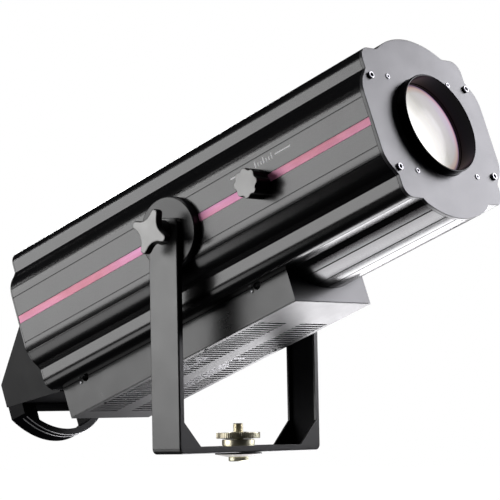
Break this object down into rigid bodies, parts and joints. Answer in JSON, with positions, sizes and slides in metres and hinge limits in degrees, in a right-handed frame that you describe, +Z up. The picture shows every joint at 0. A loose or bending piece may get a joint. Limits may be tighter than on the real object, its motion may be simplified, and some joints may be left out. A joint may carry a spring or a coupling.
{
  "type": "follow spot lamp",
  "caption": "Follow spot: long ribbed lamp body with a front lens tube, focus and iris optics, control hood and rear handle, tilting in a pressed yoke that pans on a stand stud.",
  "frame": {"origin": "on the pan axis, at the underside of the yoke bar, inside the thread of the stand adapter", "axes": "+Z up along the pan axis; +X along the tilt axis, with the focus knob on the -X side; the beam leaves toward -Y, 19.5 degrees upward at rest"},
  "size_m": [0.353, 0.7815, 0.5563],
  "materials": {
    "black_body": "satin black",
    "black_box": "satin dark grey",
    "plate_grey": "satin pale grey",
    "ring_black": "gloss black",
    "pink_stripe": "satin pink",
    "lens_glass": "coated glass",
    "yoke_grey": "satin dark grey",
    "boss_grey": "anodised",
    "brass": "polished",
    "washer_black": "matt black",
    "knob_plastic": "black, with a pale cap face",
    "screw_steel": "bright",
    "screw_black": "black, knurled",
    "inner_aluminium": "as milled",
    "inner_steel": "plated",
    "copper_board": "as machined",
    "board_green": "circuit board",
    "fan_plastic": "moulded",
    "panel_black": "fine texture",
    "display_glass": "dark window",
    "control_plastic": "moulded",
    "socket_metal": "nickel plated",
    "inlet_plastic": "moulded",
    "handle_black": "gloss black"
  },
  "bodies": {
    "stand_mount": {"stand_adapter": "brass", "pan_washer": "washer_black", "pan_collar": "brass"},
    "pan_lock": {"pan_lock_wheel": "brass"},
    "yoke": {"yoke_frame": "yoke_grey"},
    "head": {"friction_washer_left": "washer_black", "friction_washer_right": "washer_black", "tilt_boss_left": "boss_grey", "tilt_boss_right": "boss_grey", "body_top": "black_body", "body_bottom": "black_body", "side_left": "black_body", "side_right": "black_body", "stripe_left": "pink_stripe", "stripe_right": "pink_stripe", "front_plate": "plate_grey", "plate_screws": "screw_steel", "rail_screws": "screw_steel", "lens_tube": "ring_black", "front_lens": "lens_glass", "lens_retainer": "ring_black", "optical_rails": "inner_aluminium", "iris_unit": "inner_aluminium", "wheel_motor": "inner_steel", "lamp_plate": "inner_aluminium", "condenser": "lens_glass", "led_module": "copper_board", "heatsink": "inner_aluminium", "fan_frame": "fan_plastic", "rear_plate": "black_body", "rear_screws": "screw_steel", "box_shell": "black_box", "box_cover": "black_box", "box_screws": "screw_steel", "cover_screws": "screw_black", "power_supply": "inner_steel", "driver_board": "board_green", "control_hood": "black_body", "control_panel": "panel_black", "display_window": "display_glass", "signal_sockets": "socket_metal", "power_inlet": "inlet_plastic", "fuse_holder": "inlet_plastic", "rear_handle": "handle_black"},
    "tilt_knob_left": {"tilt_knob_left": "knob_plastic"},
    "tilt_knob_right": {"tilt_knob_right": "knob_plastic"},
    "focus_carriage": {"focus_carriage": "inner_aluminium", "focus_lens": "lens_glass"},
    "focus_knob": {"focus_knob": "knob_plastic"},
    "iris_ring": {"iris_ring": "inner_steel"},
    "colour_wheel": {"colour_wheel": "inner_steel"},
    "fan_rotor": {"fan_rotor": "fan_plastic"},
    "fader_dimmer": {"fader_dimmer": "control_plastic"},
    "fader_iris": {"fader_iris": "control_plastic"},
    "fader_colour": {"fader_colour": "control_plastic"},
    "button_up": {"button_up": "control_plastic"},
    "button_down": {"button_down": "control_plastic"},
    "button_mode": {"button_mode": "control_plastic"},
    "button_enter": {"button_enter": "control_plastic"},
    "power_switch": {"power_switch": "inlet_plastic"}
  },
  "joints": [
    {"name": "pan", "type": "hinge", "parent": "stand_mount", "child": "yoke", "pos_m": [0, 0, 0], "axis": [0, 0, 1], "continuous": true},
    {"name": "pan_lock_turn", "type": "hinge", "parent": "stand_mount", "child": "pan_lock", "pos_m": [0, 0, 0.0234], "axis": [0, 0, 1], "continuous": true},
    {"name": "tilt", "type": "hinge", "parent": "yoke", "child": "head", "pos_m": [0, 0, 0.3], "axis": [1, 0, 0], "range_deg": [-25.5, 69.5]},
    {"name": "tilt_knob_left_turn", "type": "hinge", "parent": "head", "child": "tilt_knob_left", "pos_m": [0, 0, 0.3], "axis": [1, 0, 0], "continuous": true},
    {"name": "tilt_knob_right_turn", "type": "hinge", "parent": "head", "child": "tilt_knob_right", "pos_m": [0, 0, 0.3], "axis": [1, 0, 0], "continuous": true},
    {"name": "focus_slide", "type": "slide", "parent": "head", "child": "focus_carriage", "axis": [0, -0.9426, 0.3338], "range_m": [-0.012, 0.012]},
    {"name": "focus_knob_turn", "type": "hinge", "parent": "focus_carriage", "child": "focus_knob", "pos_m": [-0.15, -0.15681, 0.35447], "axis": [1, 0, 0], "continuous": true},
    {"name": "iris_turn", "type": "hinge", "parent": "head", "child": "iris_ring", "pos_m": [0, 0, 0.3], "axis": [0, 0.9426, -0.3338], "range_deg": [-40, 40]},
    {"name": "colour_wheel_turn", "type": "hinge", "parent": "head", "child": "colour_wheel", "pos_m": [0, 0.05628, 0.33311], "axis": [0, 0.9426, -0.3338], "continuous": true},
    {"name": "fan_turn", "type": "hinge", "parent": "head", "child": "fan_rotor", "pos_m": [0, 0, 0.3], "axis": [0, 0.9426, -0.3338], "continuous": true},
    {"name": "fader_dimmer_slide", "type": "slide", "parent": "head", "child": "fader_dimmer", "axis": [0, 0.4226, -0.9063], "range_m": [-0.02, 0.02]},
    {"name": "fader_iris_slide", "type": "slide", "parent": "head", "child": "fader_iris", "axis": [0, 0.4226, -0.9063], "range_m": [-0.02, 0.02]},
    {"name": "fader_colour_slide", "type": "slide", "parent": "head", "child": "fader_colour", "axis": [0, 0.4226, -0.9063], "range_m": [-0.02, 0.02]},
    {"name": "button_up_press", "type": "slide", "parent": "head", "child": "button_up", "axis": [0, -0.9063, -0.4226], "range_m": [0, 0.0015], "stiffness_N_per_m": 400},
    {"name": "button_down_press", "type": "slide", "parent": "head", "child": "button_down", "axis": [0, -0.9063, -0.4226], "range_m": [0, 0.0015], "stiffness_N_per_m": 400},
    {"name": "button_mode_press", "type": "slide", "parent": "head", "child": "button_mode", "axis": [0, -0.9063, -0.4226], "range_m": [0, 0.0015], "stiffness_N_per_m": 400},
    {"name": "button_enter_press", "type": "slide", "parent": "head", "child": "button_enter", "axis": [0, -0.9063, -0.4226], "range_m": [0, 0.0015], "stiffness_N_per_m": 400},
    {"name": "power_switch_rock", "type": "hinge", "parent": "head", "child": "power_switch", "pos_m": [-0.036, 0.24609, 0.06327], "axis": [0, 0.3338, 0.9426], "range_deg": [-14, 0]}
  ]
}
